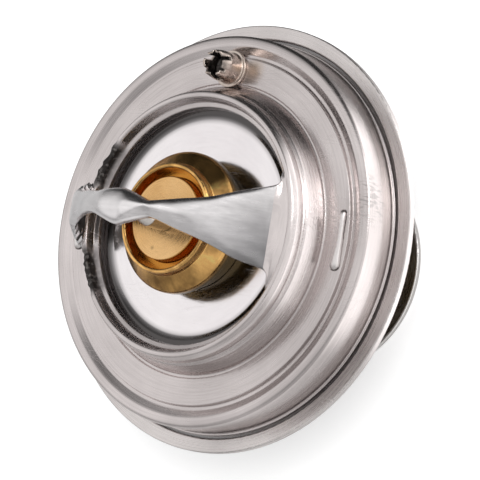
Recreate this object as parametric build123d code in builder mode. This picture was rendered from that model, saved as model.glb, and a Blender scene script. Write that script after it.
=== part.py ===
from build123d import *
import os
from math import atan2, cos, degrees, radians, sin, sqrt

# Engine thermostat: a stamped flange and bridge cup around a wax-driven poppet valve.
# Millimetres. +Z runs along the valve axis towards the bridge, and z = 0 is the underside of
# the flange, where it seats in the housing. +X points along the bridge strap, and the vent
# valve stands on +Y.

os.makedirs("parts", exist_ok=True)

# --- driving dimensions -----------------------------------------------------------------
press_gap = 0.05              # between pieces that are pressed, nested or sealed together
running_gap = 0.05            # radial, between a pin and the bore that it slides in
loose_gap = 0.30              # radial, between pieces that pass without touching
edge_round = 0.2              # rims of turned and pressed pieces
bend_round = 0.3              # small bends in sheet

# flange plate
rim_width = 2.25              # flat rim outside the recess
flange_thickness = 1.0
flange_edge_round = 0.18
recess_round = 0.25           # where the flange is sheared down to the ledge
recess_depth = 0.75
pilot_width = 0.35            # the jog stands this much further out on the underside
ledge_width = 2.65            # from the recess to the bore of the flange

# bridge cup, from the valve seat outwards
cup_sheet = 0.9
seat_radius = 18.4            # opening of the valve seat
seat_z = 9.8                  # underside of the seat, where the valve plate closes
seat_width = 1.6              # from the opening to the middle of the fold
seat_bend_rise = 0.6          # bend of the inner fold, above the seat
crest_height = 2.95           # of the folded collar, above the seat
crest_flat = 0.8              # between the two bends of the fold
crest_round = 0.4
collar_width = 2.2            # from the middle of the fold out to the collar's foot
collar_score_drop = 2.45      # fine double line pressed round the collar, below the crest
collar_score_pitch = 0.55
collar_score_width = 0.45
collar_score_depth = 0.2
collar_gutter = 0.6           # between the collar's foot and the flat ring
ring_width = 4.35             # flat ring that carries the tabs and the vent valve
ring_z = 7.2
ring_groove_width = 0.35
ring_groove_depth = 0.3
ring_bevel = 0.12
shoulder_z = 7.0
shoulder_width = 2.75         # from the flat ring out to the wall
shoulder_round = 1.7
wall_draft = 0.3              # the wall leans out by this much over its height
lip_width = 0.65              # out-turned at the foot of the wall
lip_edge_gap = 0.4            # crevice between the cup's lip and the flange

# bridge strap, from the far foot to the near foot: reach along the strap as a share of the
# crest's radius, rise of the crown above the crest, side shift and half width of the crown's
# flat, side shift and half width over the flanks, drop of the flanks
strap_sheet = 1.05
strap_flat_trim = 0.35        # what the folds take from the inside, as shares of the sheet
strap_half_trim = 0.15
strap_foot_trim = 0.3
strap_fold_flat = 0.15        # least half width of the crown's underside
strap_lean_limit = 2.0        # of the flanks, width over drop
strap_bulge = (0.8, 0.35)     # swell of the flanks, as shares of their width and drop
strap_sections = (
    (-0.95, 3.1, 0.4, 3.3, 0.4, 4.5, 1.0),
    (-0.84, 6.1, 0.7, 1.6, 0.9, 2.6, 1.3),
    (-0.65, 9.0, 0.6, 1.0, 1.15, 1.95, 1.5),
    (-0.45, 11.6, 0.2, 0.85, 0.95, 1.75, 1.6),
    (-0.125, 14.1, -0.2, 1.6, 0.2, 2.85, 1.8),
    (-0.02, 14.25, -0.25, 1.45, 0.2, 2.4, 1.8),
    (0.11, 13.0, 0.6, 0.25, 0.22, 1.4, 1.8),
    (0.3, 10.15, 0.3, 1.3, 0.2, 2.35, 1.6),
    (0.475, 7.3, 0.1, 2.6, 0.08, 3.45, 1.4),
    (0.67, 4.15, 0.1, 4.15, 0.1, 5.2, 1.1),
    (0.885, 0.8, 0.1, 6.3, 0.1, 6.75, 0.5),
)
foot_inset = 0.1              # of the strap's near end, inside the middle of the fold
near_foot_rise = 0.1          # of the near end, above the crest
far_foot_half = 5.4
far_knee_round = 0.9
far_knee_inset = 0.1          # of the far knee, behind the collar and below the strap
far_knee_lap = 0.5            # over the end of the strap
far_knee_sink = 0.4           # below the fold of the collar
shear_relief_angle = 24.0     # rough sheared edge each side of a foot, along the crest
shear_relief_depth = 0.55
shear_relief_over = 0.2       # the cut starts this much outside the sheet

# stirrup below the flange
stirrup_sheet = 1.1
tab_inset = 1.1               # middle of the tab, inside the flat ring's edge
tab_width = 9.3
tab_height = 0.5              # stands above the flat ring
tab_corner = 0.4
tab_edge_round = 0.25
tab_slot_gap = 0.1
leg_width = 12.4
leg_knee_z = -2.4
leg_knee_round = 2.0
leg_foot_over = 0.2           # the legs leave the base this much outside it
leg_foot_round = 1.4
leg_foot_lap = 2.0            # of the leg over the base
base_z = -13.6                # underside of the stirrup's base
base_radius = 16.2
guide_height = 1.3            # upturned lip that guides the capsule and the spring

# valve plate
plate_sheet = 1.0
plate_lap = 1.0               # outside the opening of the seat
plate_floor_inset = 1.7       # inside the opening of the seat
plate_floor_drop = 0.4
plate_step_width = 0.8
plate_step_round = 0.5
hub_skirt = 1.3               # turned-down collar, below the plate
retainer_width = 1.7
retainer_height = 0.8
retainer_flare = 0.6

# wax capsule
bulb_radius = 9.4
capsule_pilot_width = 0.2     # seat of the valve plate, outside the bulb
capsule_head_width = 1.5      # head outside the bulb
capsule_head_z = 12.5         # underside of the head
bulb_round = 2.6
bulb_bottom_z = -16.5
capsule_wall = 1.0
capsule_top_z = 17.4
neck_flare = 0.15
shoulder_drop = 3.4           # from the top of the neck down to the full radius
capsule_shoulder_round = 1.1
pilot_rise = 0.6              # cone between the bulb and the seat of the valve plate
neck_height = 1.5
insert_radius = 6.45
mouth_gap = 1.3               # recess round the insert
mouth_wall = 0.7              # rolled edge of the mouth
insert_flange_width = 2.4     # outside the insert's visible face
insert_drop = 0.2             # insert lies below the mouth's edge
insert_flange_z = 15.4        # top of the flange that the mouth is rolled over
insert_flange_height = 3.0
insert_nose_z = 7.6
insert_nose_wall = 0.8        # outside the backup ring

# piston pin
pin_radius = 2.0
pin_bottom_z = -8.0
pin_tip_length = 4.2
pin_tip_radius = 0.5
pin_end_round = 0.5
pin_shoulder_round = 0.4
pin_seat_gap = 0.3            # under the crown of the strap

# sleeve, ring and wax inside the capsule
sleeve_wall = 1.6
sleeve_end = 1.8
sleeve_flange_height = 1.4
sleeve_end_round = 1.2
sleeve_bend_round = 0.4
wax_lead = 0.8                # cone at the mouth of the wax, round the sleeve's bend
wax_lead_width = 0.3
backup_ring_height = 0.7
backup_ring_radius = 3.6

# main spring
main_wire = 2.2
main_bottom_radius = 12.6
main_top_radius = 14.8
main_turns = 4.0

# bypass valve
bypass_radius = 16.45
bypass_sheet = 0.9
bypass_bottom_z = -26.7
bypass_hub_radius = 8.6
bypass_hub_rise = 1.5
bypass_cone_width = 1.9
bypass_bend_round = 0.6
stem_radius = 2.2
stem_flange_radius = 5.6
stem_flange_height = 0.9
stem_end_gap = 0.25           # above the plane that the disc stands on
stem_head_width = 0.7         # riveted over the washer
stem_head_taper = 0.3
stem_head_round = 0.1
end_washer_radius = 4.3
end_washer_height = 0.5
spring_cup_radius = 7.4
spring_cup_height = 0.7
spring_cup_skirt = 1.6
spring_cup_round = 0.5
bypass_wire = 1.3
bypass_bottom_radius = 7.2
bypass_top_radius = 6.2
bypass_turns = 2.5

# vent valve
vent_inset = 2.05             # middle of the vent tube, inside the flat ring's edge
vent_outer = 2.35
vent_wall = 0.42
vent_height = 4.6             # above the flat ring
vent_crimp_height = 1.5
vent_crimp_inset = 0.55
vent_slot_width = 1.1
vent_slot_depth = 1.9
vent_slots = 3
vent_slot_turn = 30.0         # first slot, from +X
vent_bend_round = 0.6
vent_bend_rise = 0.2          # outer bend stands this much above the inner one
vent_lip_round = 0.12
vent_flare = 0.55
vent_flare_height = 0.6
vent_seat_radius = 1.05
vent_ball_radius = 1.55

# --- heights and radii that follow ------------------------------------------------------
crest_radius = seat_radius + seat_width
crest_z = seat_z + crest_height
collar_foot_radius = crest_radius + collar_width
collar_score_z = crest_z - collar_score_drop
ring_inner = collar_foot_radius + collar_gutter
ring_outer = ring_inner + ring_width
wall_top_radius = ring_outer + shoulder_width
wall_radius = wall_top_radius + wall_draft
lip_radius = wall_radius + lip_width
recess_radius = lip_radius + lip_edge_gap
flange_radius = recess_radius + rim_width
ledge_z = flange_thickness - recess_depth
flange_bore = recess_radius - ledge_width
lip_z = ledge_z + cup_sheet
groove_z = ring_z - ring_groove_depth
ring_under_z = groove_z - cup_sheet
tab_radius = ring_outer - tab_inset
vent_radius = ring_outer - vent_inset
plate_radius = seat_radius + plate_lap
plate_floor_radius = seat_radius - plate_floor_inset
plate_top_z = seat_z - press_gap
plate_floor_z = plate_top_z - plate_floor_drop
plate_under_z = plate_floor_z - plate_sheet
stirrup_floor_z = base_z + stirrup_sheet
guide_radius = bulb_radius + loose_gap
bulb_bore = bulb_radius - capsule_wall
capsule_pilot_radius = bulb_radius + capsule_pilot_width
capsule_radius = bulb_radius + capsule_head_width
mouth_radius = insert_radius + mouth_gap
neck_radius = mouth_radius + mouth_wall
insert_top_z = capsule_top_z - insert_drop
bypass_top_z = bypass_bottom_z + bypass_sheet
hub_under_z = bypass_bottom_z + bypass_hub_rise
hub_top_z = hub_under_z + bypass_sheet
stem_end_z = bypass_bottom_z + stem_end_gap
crown_z = crest_z + max(section[1] for section in strap_sections)


# --- helpers ----------------------------------------------------------------------------
def rounded_outline(*corners):
    """Closed line through corners given as radius, height and corner rounding."""
    FilletPolyline(
        *[(radius, height) for radius, height, rounding in corners],
        radius=[rounding for radius, height, rounding in corners],
        close=True,
    )


def half_plane(angle):
    """Upright plane through the axis, with its x direction at this angle from +X."""
    turn = radians(angle)
    return Plane(origin=(0, 0, 0), x_dir=(cos(turn), sin(turn), 0),
                 z_dir=(sin(turn), -cos(turn), 0))


def strap_outline(top, flat_shift, flat, half_shift, half, drop):
    """Section across the strap: a flat crown with a swelling flank folded down on each side."""
    lean = min((half - flat) / drop, strap_lean_limit)
    swell_half, swell_drop = strap_bulge
    swell = flat + swell_half * (half - flat)
    swell_shift = flat_shift + swell_half * (half_shift - flat_shift)
    swell_z = top - swell_drop * drop
    inner_flat = max(flat - strap_flat_trim * strap_sheet, strap_fold_flat)
    inner_half = half - strap_sheet * (1 - strap_half_trim * lean)
    inner_foot = top - drop - strap_foot_trim * strap_sheet * lean
    return (
        (half_shift - half, top - drop),
        (swell_shift - swell, swell_z),
        (flat_shift - flat, top),
        (flat_shift + flat, top),
        (swell_shift + swell, swell_z),
        (half_shift + half, top - drop),
        (half_shift + inner_half, inner_foot),
        (flat_shift + inner_flat, top - strap_sheet),
        (flat_shift - inner_flat, top - strap_sheet),
        (half_shift - inner_half, inner_foot),
    )


# --- flange plate -----------------------------------------------------------------------
with BuildPart() as flange_plate:
    with BuildSketch(Plane.XZ) as flange_profile:
        with BuildLine():
            rounded_outline(
                (flange_bore, ledge_z - flange_thickness, 0),
                (recess_radius + pilot_width, ledge_z - flange_thickness, bend_round),
                (recess_radius + pilot_width, 0, 0),
                (flange_radius, 0, 0),
                (flange_radius, flange_thickness, flange_edge_round),
                (recess_radius, flange_thickness, recess_round),
                (recess_radius, ledge_z, 0),
                (flange_bore, ledge_z, 0),
            )
        make_face()
    revolve(axis=Axis.Z)
flange_plate.part.label = "flange_plate"

# --- bridge cup: wall, shoulder, flat ring, folded collar, seat and strap ----------------
fold_z = crest_z - cup_sheet
fold_outer = crest_radius + cup_sheet
fold_inner = crest_radius - cup_sheet
collar_lean = (collar_foot_radius - fold_outer) / (fold_z - groove_z)
near_reach, near_rise, *near_widths = strap_sections[-1]
far_x = strap_sections[0][0] * crest_radius
far_top = crest_z + strap_sections[0][1]


def score_line(z):
    """Shallow groove in the collar's outside, from its lower to its upper edge."""
    low = z - collar_score_width / 2
    high = z + collar_score_width / 2
    return (
        (collar_foot_radius - collar_lean * (low - groove_z), low, 0),
        (collar_foot_radius - collar_lean * (z - groove_z) - collar_score_depth, z, 0),
        (collar_foot_radius - collar_lean * (high - groove_z), high, 0),
    )


# near foot: the fan runs out flat on to the crest
with BuildPart() as near_foot:
    for x, rise in ((near_reach * crest_radius, near_rise), (fold_outer, near_foot_rise)):
        with BuildSketch(Plane.YZ.offset(x)):
            with BuildLine():
                Polyline(*strap_outline(crest_z + rise, *near_widths), close=True)
            make_face()
    loft(ruled=True)
    with BuildSketch(Plane.XY.offset(fold_z - cup_sheet)):
        Circle(crest_radius - foot_inset)
    extrude(amount=crown_z - fold_z, mode=Mode.INTERSECT)

with BuildPart() as bridge_cup:
    with BuildSketch(Plane.XZ) as sheet_profile:
        with BuildLine():
            rounded_outline(
                (lip_radius, lip_z, 0),
                (wall_radius, lip_z, 0),
                (wall_top_radius, shoulder_z, shoulder_round),
                (ring_outer + 2 * ring_groove_width, shoulder_z, 0),
                (ring_outer + ring_groove_width, groove_z, 0),
                (ring_outer, groove_z, 0),
                (ring_outer - ring_bevel, ring_z, 0),
                (ring_inner + ring_bevel, ring_z, 0),
                (ring_inner, groove_z, 0),
                (collar_foot_radius, groove_z, 0),
                *score_line(collar_score_z),
                *score_line(collar_score_z + collar_score_pitch),
                (fold_outer, fold_z, edge_round),
                (crest_radius + crest_flat / 2, crest_z, crest_round),
                (crest_radius - crest_flat / 2, crest_z, crest_round),
                (fold_inner, fold_z, edge_round),
                (fold_inner, seat_z + cup_sheet + seat_bend_rise, bend_round),
                (seat_radius, seat_z + cup_sheet, 0),
                (seat_radius, seat_z, 0),
                (crest_radius - bend_round, seat_z, 0),
                (crest_radius, fold_z - cup_sheet, 0),
                (collar_foot_radius - cup_sheet, ring_under_z, 0),
                (ring_outer, ring_under_z, 0),
                (wall_top_radius - 2 * cup_sheet, shoulder_z - cup_sheet, 0),
                (wall_top_radius - cup_sheet, shoulder_z - 2 * cup_sheet, 0),
                (wall_radius - cup_sheet, ledge_z, 0),
                (lip_radius, ledge_z, 0),
            )
        make_face()
    revolve(axis=Axis.Z)

    # sheared edges beside the far foot, where the strap was lanced out of the collar
    far_half_angle = degrees(far_foot_half / crest_radius)
    for start in (180 - far_half_angle - shear_relief_angle, 180 + far_half_angle):
        with BuildSketch(half_plane(start)):
            with BuildLine():
                Polyline(
                    (fold_inner - shear_relief_over, fold_z - shear_relief_depth),
                    (crest_radius + shear_relief_depth, crest_z + shear_relief_over),
                    (fold_inner - shear_relief_over, crest_z + shear_relief_over),
                    close=True,
                )
            make_face()
        revolve(axis=Axis.Z, revolution_arc=shear_relief_angle, mode=Mode.SUBTRACT)

    # strap: one smooth loft between the two knees
    for reach, rise, *widths in strap_sections:
        with BuildSketch(Plane.YZ.offset(reach * crest_radius)):
            with BuildLine():
                Polyline(*strap_outline(crest_z + rise, *widths), close=True)
            make_face()
    loft()
    add(near_foot.part)

    # far knee: the strap turns down on to the collar
    with BuildSketch(half_plane(180 - far_half_angle)):
        with BuildLine():
            rounded_outline(
                (fold_inner, fold_z - far_knee_sink, 0),
                (fold_outer - far_knee_inset / 2, fold_z - far_knee_sink, 0),
                (fold_outer - far_knee_inset, far_top - far_knee_inset, far_knee_round),
                (-far_x - far_knee_lap, far_top, edge_round),
                (-far_x - far_knee_lap, far_top - strap_sheet, edge_round),
            )
        make_face()
    revolve(axis=Axis.Z, revolution_arc=2 * far_half_angle)

    # slots for the stirrup's tabs and a hole for the vent tube
    with BuildSketch(Plane.XY.offset(ring_under_z - cup_sheet)):
        with Locations((tab_radius, 0), (-tab_radius, 0)):
            Rectangle(stirrup_sheet + 2 * tab_slot_gap, tab_width + 2 * tab_slot_gap)
        with Locations((0, vent_radius)):
            Circle(vent_outer + press_gap)
    extrude(amount=3 * cup_sheet, mode=Mode.SUBTRACT)
bridge_cup.part.label = "bridge_cup"

# --- stirrup: base with a guide lip and two legs whose tabs are peened over the ring -----
leg_outer = tab_radius + stirrup_sheet / 2
leg_inner = tab_radius - stirrup_sheet / 2
leg_foot_radius = base_radius + leg_foot_over
leg_lean = atan2(leg_outer - leg_foot_radius, leg_knee_z - base_z)
knee_shift = stirrup_sheet * (1 - cos(leg_lean)) / sin(leg_lean)
foot_shift = stirrup_sheet * (1 - sin(leg_lean)) / cos(leg_lean)

# tab: upright end of a leg, its top edge rounded by the peening
with BuildPart() as tab:
    with BuildSketch(Plane.XY.offset(ring_under_z - cup_sheet)):
        RectangleRounded(stirrup_sheet, tab_width, tab_corner)
    extrude(amount=ring_z + tab_height - ring_under_z + cup_sheet)
    fillet(tab.faces().sort_by(Axis.Z)[-1].edges(), tab_edge_round)

with BuildPart() as stirrup:
    with BuildSketch(Plane.XZ) as base_profile:
        with BuildLine():
            rounded_outline(
                (guide_radius, base_z, bend_round),
                (base_radius, base_z, edge_round),
                (base_radius, stirrup_floor_z, edge_round),
                (guide_radius + stirrup_sheet, stirrup_floor_z, bend_round),
                (guide_radius + stirrup_sheet, stirrup_floor_z + guide_height, edge_round),
                (guide_radius, stirrup_floor_z + guide_height, edge_round),
            )
        make_face()
    revolve(axis=Axis.Z)
    for side in (0, 180):
        with BuildSketch(half_plane(side)) as leg_profile:
            with BuildLine():
                rounded_outline(
                    (base_radius - leg_foot_lap, base_z, 0),
                    (leg_foot_radius, base_z, leg_foot_round),
                    (leg_outer, leg_knee_z, leg_knee_round),
                    (leg_outer, ring_under_z - press_gap, 0),
                    (leg_inner, ring_under_z - press_gap, 0),
                    (leg_inner, leg_knee_z + knee_shift, leg_knee_round - stirrup_sheet),
                    (leg_foot_radius - foot_shift, stirrup_floor_z, bend_round),
                    (base_radius - leg_foot_lap, stirrup_floor_z, 0),
                )
            make_face()
        extrude(amount=leg_width / 2, both=True)
        add(Pos(tab_radius * cos(radians(side)), 0, 0) * tab.part)
stirrup.part.label = "stirrup"

# --- valve plate, pressed on the capsule --------------------------------------------------
plate_bore = capsule_pilot_radius + press_gap
step_radius = plate_floor_radius + plate_step_width
with BuildPart() as valve_plate:
    with BuildSketch(Plane.XZ) as plate_profile:
        with BuildLine():
            rounded_outline(
                (plate_bore, plate_floor_z, 0),
                (plate_floor_radius, plate_floor_z, plate_step_round),
                (step_radius, plate_top_z, plate_step_round),
                (plate_radius, plate_top_z, edge_round),
                (plate_radius, plate_top_z - plate_sheet, edge_round),
                (step_radius, plate_top_z - plate_sheet, plate_step_round),
                (plate_floor_radius, plate_under_z, plate_step_round),
                (plate_bore + plate_sheet, plate_under_z, edge_round),
                (plate_bore + plate_sheet, plate_under_z - hub_skirt, 0),
                (plate_bore, plate_under_z - hub_skirt, 0),
            )
        make_face()
    revolve(axis=Axis.Z)
valve_plate.part.label = "valve_plate"

# --- ring under the plate: centres the top coil of the main spring ------------------------
retainer_top_z = plate_under_z - press_gap
retainer_bore = plate_bore + plate_sheet + press_gap
retainer_radius = retainer_bore + retainer_width
with BuildPart() as spring_ring:
    with BuildSketch(Plane.XZ) as ring_profile:
        with BuildLine():
            rounded_outline(
                (retainer_bore, retainer_top_z, bend_round),
                (retainer_bore, retainer_top_z - hub_skirt, 0),
                (retainer_radius, retainer_top_z - hub_skirt, bend_round),
                (retainer_radius, retainer_top_z - retainer_height, 0),
                (retainer_radius + retainer_flare, retainer_top_z, 0),
            )
        make_face()
    revolve(axis=Axis.Z)
spring_ring.part.label = "spring_ring"

# --- capsule cup: bulb, pilot, shoulder and rolled mouth ----------------------------------
pilot_foot_z = plate_under_z - hub_skirt
shoulder_full_z = capsule_top_z - shoulder_drop
insert_pocket_radius = insert_radius + insert_flange_width
insert_foot_z = insert_flange_z - insert_flange_height
with BuildPart() as capsule_cup:
    with BuildSketch(Plane.XZ) as cup_profile:
        with BuildLine():
            rounded_outline(
                (0, bulb_bottom_z, 0),
                (bulb_radius, bulb_bottom_z, bulb_round),
                (bulb_radius, pilot_foot_z - pilot_rise, bend_round),
                (capsule_pilot_radius, pilot_foot_z, 0),
                (capsule_pilot_radius, capsule_head_z, 0),
                (capsule_radius, capsule_head_z, edge_round),
                (capsule_radius, shoulder_full_z, capsule_shoulder_round),
                (neck_radius + neck_flare, capsule_top_z - neck_height, bend_round),
                (neck_radius, capsule_top_z, bend_round),
                (mouth_radius, capsule_top_z, bend_round),
                (mouth_radius, insert_flange_z, 0),
                (insert_pocket_radius, insert_flange_z, 0),
                (insert_pocket_radius, insert_foot_z, 0),
                (bulb_bore, insert_foot_z, 0),
                (bulb_bore, bulb_bottom_z + capsule_wall, bulb_round - capsule_wall),
                (0, bulb_bottom_z + capsule_wall, 0),
            )
        make_face()
    revolve(axis=Axis.Z)
capsule_cup.part.label = "capsule_cup"

# --- guide insert: closes the capsule and guides the piston pin ---------------------------
pin_bore = pin_radius + running_gap
insert_flange_radius = insert_pocket_radius - press_gap
insert_nose_radius = backup_ring_radius + insert_nose_wall
with BuildPart() as guide_insert:
    with BuildSketch(Plane.XZ) as insert_profile:
        with BuildLine():
            rounded_outline(
                (pin_bore, insert_top_z, 0),
                (insert_radius, insert_top_z, edge_round),
                (insert_radius, insert_flange_z - press_gap, edge_round),
                (insert_flange_radius, insert_flange_z - press_gap, 0),
                (insert_flange_radius, insert_foot_z + press_gap, 0),
                (insert_nose_radius, insert_foot_z + press_gap, 0),
                (insert_nose_radius, insert_nose_z, edge_round),
                (pin_bore, insert_nose_z, 0),
            )
        make_face()
    revolve(axis=Axis.Z)
guide_insert.part.label = "guide_insert"

# --- piston pin: stands still under the bridge --------------------------------------------
pin_top_z = crown_z - strap_sheet - pin_seat_gap
with BuildPart() as piston_pin:
    with BuildSketch(Plane.XZ) as pin_profile:
        with BuildLine():
            rounded_outline(
                (0, pin_bottom_z, 0),
                (pin_radius, pin_bottom_z, pin_end_round),
                (pin_radius, pin_top_z - pin_tip_length, pin_shoulder_round),
                (pin_tip_radius, pin_top_z, edge_round),
                (0, pin_top_z, 0),
            )
        make_face()
    revolve(axis=Axis.Z)
piston_pin.part.label = "piston_pin"

# --- backup ring between the insert and the rubber sleeve ---------------------------------
backup_top_z = insert_nose_z - press_gap
with BuildPart() as backup_ring:
    with BuildSketch(Plane.XY.offset(backup_top_z - backup_ring_height)):
        Circle(backup_ring_radius)
        Circle(pin_bore, mode=Mode.SUBTRACT)
    extrude(amount=backup_ring_height)
backup_ring.part.label = "backup_ring"

# --- rubber sleeve: keeps the wax from the pin --------------------------------------------
sleeve_top_z = backup_top_z - backup_ring_height - press_gap
sleeve_bore = pin_radius + loose_gap
sleeve_radius = sleeve_bore + sleeve_wall
sleeve_floor_z = pin_bottom_z - loose_gap
sleeve_end_z = sleeve_floor_z - sleeve_end
sleeve_flange_z = sleeve_top_z - sleeve_flange_height
with BuildPart() as rubber_sleeve:
    with BuildSketch(Plane.XZ) as sleeve_profile:
        with BuildLine():
            rounded_outline(
                (0, sleeve_end_z, 0),
                (sleeve_radius, sleeve_end_z, sleeve_end_round),
                (sleeve_radius, sleeve_flange_z, sleeve_bend_round),
                (bulb_bore - press_gap, sleeve_flange_z, 0),
                (bulb_bore - press_gap, sleeve_top_z, edge_round),
                (sleeve_bore, sleeve_top_z, 0),
                (sleeve_bore, sleeve_floor_z, pin_end_round),
                (0, sleeve_floor_z, 0),
            )
        make_face()
    revolve(axis=Axis.Z)
rubber_sleeve.part.label = "rubber_sleeve"

# --- wax charge ---------------------------------------------------------------------------
wax_radius = bulb_bore - press_gap
wax_bore = sleeve_radius + press_gap
wax_floor_z = sleeve_end_z - press_gap
wax_top_z = sleeve_flange_z - press_gap
wax_bottom_z = bulb_bottom_z + capsule_wall + press_gap
with BuildPart() as wax_charge:
    with BuildSketch(Plane.XZ) as wax_profile:
        with BuildLine():
            rounded_outline(
                (0, wax_bottom_z, 0),
                (wax_radius, wax_bottom_z, bulb_round - capsule_wall),
                (wax_radius, wax_top_z, 0),
                (wax_bore + wax_lead_width, wax_top_z, 0),
                (wax_bore, wax_top_z - wax_lead, 0),
                (wax_bore, wax_floor_z, sleeve_end_round),
                (0, wax_floor_z, 0),
            )
        make_face()
    revolve(axis=Axis.Z)
wax_charge.part.label = "wax_charge"


# --- coil springs: conical helices with ground ends ---------------------------------------
def coil_path(bottom_radius, top_radius, bottom_z, top_z, turns):
    """Centre line of a conical coil between two heights."""
    height = top_z - bottom_z
    cone = degrees(atan2(top_radius - bottom_radius, height))
    return Helix(pitch=height / turns, height=height, radius=bottom_radius,
                 center=(0, 0, bottom_z), cone_angle=cone)


main_bottom_z = stirrup_floor_z + press_gap
main_top_z = plate_under_z - press_gap
with BuildPart() as main_spring:
    with BuildLine() as main_path:
        coil_path(main_bottom_radius, main_top_radius, main_bottom_z, main_top_z, main_turns)
    with BuildSketch(Plane(origin=main_path.line @ 0, z_dir=main_path.line % 0)):
        Circle(main_wire / 2)
    sweep()
    with BuildSketch(Plane.XY.offset(main_bottom_z)):
        Circle(main_top_radius + 2 * main_wire)
    extrude(amount=main_top_z - main_bottom_z, mode=Mode.INTERSECT)
main_spring.part.label = "main_spring"

# --- bypass stem with its flange, pressed in the end of the bulb --------------------------
stem_top_z = bulb_bottom_z - press_gap
stem_flange_z = stem_top_z - stem_flange_height
spring_cup_top_z = stem_flange_z - press_gap
stem_head_z = hub_under_z - end_washer_height - press_gap
with BuildPart() as bypass_stem:
    with BuildSketch(Plane.XZ) as stem_profile:
        with BuildLine():
            rounded_outline(
                (0, stem_top_z, 0),
                (stem_flange_radius, stem_top_z, edge_round),
                (stem_flange_radius, stem_flange_z, edge_round),
                (stem_radius, stem_flange_z, 0),
                (stem_radius, stem_head_z, 0),
                (stem_radius + stem_head_width, stem_head_z, stem_head_round),
                (stem_radius + stem_head_width - stem_head_taper, stem_end_z, edge_round),
                (0, stem_end_z, 0),
            )
        make_face()
    revolve(axis=Axis.Z)
bypass_stem.part.label = "bypass_stem"

# --- spring cup under the stem's flange ---------------------------------------------------
spring_cup_outer = spring_cup_radius + spring_cup_height
with BuildPart() as spring_cup:
    with BuildSketch(Plane.XZ) as cup_profile:
        with BuildLine():
            rounded_outline(
                (stem_radius + press_gap, spring_cup_top_z, 0),
                (spring_cup_outer, spring_cup_top_z, spring_cup_round),
                (spring_cup_outer, spring_cup_top_z - spring_cup_skirt, edge_round),
                (spring_cup_radius, spring_cup_top_z - spring_cup_skirt, edge_round),
                (spring_cup_radius, spring_cup_top_z - spring_cup_height, edge_round),
                (stem_radius + press_gap, spring_cup_top_z - spring_cup_height, 0),
            )
        make_face()
    revolve(axis=Axis.Z)
spring_cup.part.label = "spring_cup"

# --- bypass disc: slides on the stem against its spring -----------------------------------
stem_bore = stem_radius + running_gap
cone_foot_radius = bypass_hub_radius + bypass_cone_width
with BuildPart() as bypass_disc:
    with BuildSketch(Plane.XZ) as disc_profile:
        with BuildLine():
            rounded_outline(
                (stem_bore, hub_under_z, 0),
                (bypass_hub_radius, hub_under_z, bypass_bend_round),
                (cone_foot_radius, bypass_bottom_z, bypass_bend_round),
                (bypass_radius, bypass_bottom_z, edge_round),
                (bypass_radius, bypass_top_z, edge_round),
                (cone_foot_radius, bypass_top_z, bypass_bend_round),
                (bypass_hub_radius, hub_top_z, bypass_bend_round),
                (stem_bore, hub_top_z, 0),
            )
        make_face()
    revolve(axis=Axis.Z)
bypass_disc.part.label = "bypass_disc"

# --- washer that keeps the disc on the stem -----------------------------------------------
with BuildPart() as end_washer:
    with BuildSketch(Plane.XY.offset(hub_under_z - press_gap / 2 - end_washer_height)):
        Circle(end_washer_radius)
        Circle(stem_radius + press_gap, mode=Mode.SUBTRACT)
    extrude(amount=end_washer_height)
end_washer.part.label = "end_washer"

# --- bypass spring ------------------------------------------------------------------------
bypass_coil_bottom_z = hub_top_z + press_gap
bypass_coil_top_z = spring_cup_top_z - spring_cup_height - press_gap
with BuildPart() as bypass_spring:
    with BuildLine() as bypass_path:
        coil_path(bypass_bottom_radius, bypass_top_radius, bypass_coil_bottom_z,
                  bypass_coil_top_z, bypass_turns)
    with BuildSketch(Plane(origin=bypass_path.line @ 0, z_dir=bypass_path.line % 0)):
        Circle(bypass_wire / 2)
    sweep()
    with BuildSketch(Plane.XY.offset(bypass_coil_bottom_z)):
        Circle(bypass_bottom_radius + 2 * bypass_wire)
    extrude(amount=bypass_coil_top_z - bypass_coil_bottom_z, mode=Mode.INTERSECT)
bypass_spring.part.label = "bypass_spring"

# --- vent tube: riveted in the flat ring, its end slotted and crimped over the ball --------
vent_axis = Axis((0, vent_radius, 0), (0, 0, 1))
vent_plane = Plane(origin=(0, vent_radius, 0), x_dir=(1, 0, 0), z_dir=(0, -1, 0))
vent_bore = vent_outer - vent_wall
vent_top_z = ring_z + vent_height
crimp_z = vent_top_z - vent_crimp_height
flare_top_z = ring_under_z - press_gap
flare_z = flare_top_z - vent_flare_height
with BuildPart() as vent_tube:
    with BuildSketch(vent_plane) as tube_profile:
        with BuildLine():
            rounded_outline(
                (vent_seat_radius, flare_z, 0),
                (vent_outer + vent_flare, flare_z, edge_round),
                (vent_outer + vent_flare, flare_top_z, 0),
                (vent_outer, flare_top_z, 0),
                (vent_outer, crimp_z, vent_bend_round),
                (vent_outer - vent_crimp_inset, vent_top_z, vent_lip_round),
                (vent_outer - vent_crimp_inset - vent_wall, vent_top_z, vent_lip_round),
                (vent_bore, crimp_z - vent_bend_rise, vent_bend_round),
                (vent_bore, flare_top_z + vent_bore - vent_seat_radius, 0),
                (vent_seat_radius, flare_top_z, 0),
            )
        make_face()
    revolve(axis=vent_axis)
    for k in range(vent_slots):
        turn = vent_slot_turn + 360 / vent_slots * k
        slot_plane = Plane(origin=(0, vent_radius, vent_top_z - vent_slot_depth),
                           x_dir=(cos(radians(turn)), sin(radians(turn)), 0),
                           z_dir=(0, 0, 1))
        with BuildSketch(slot_plane):
            with Locations((vent_outer, 0)):
                Rectangle(2 * vent_outer, vent_slot_width)
        extrude(amount=2 * vent_slot_depth, mode=Mode.SUBTRACT)
vent_tube.part.label = "vent_tube"

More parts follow.
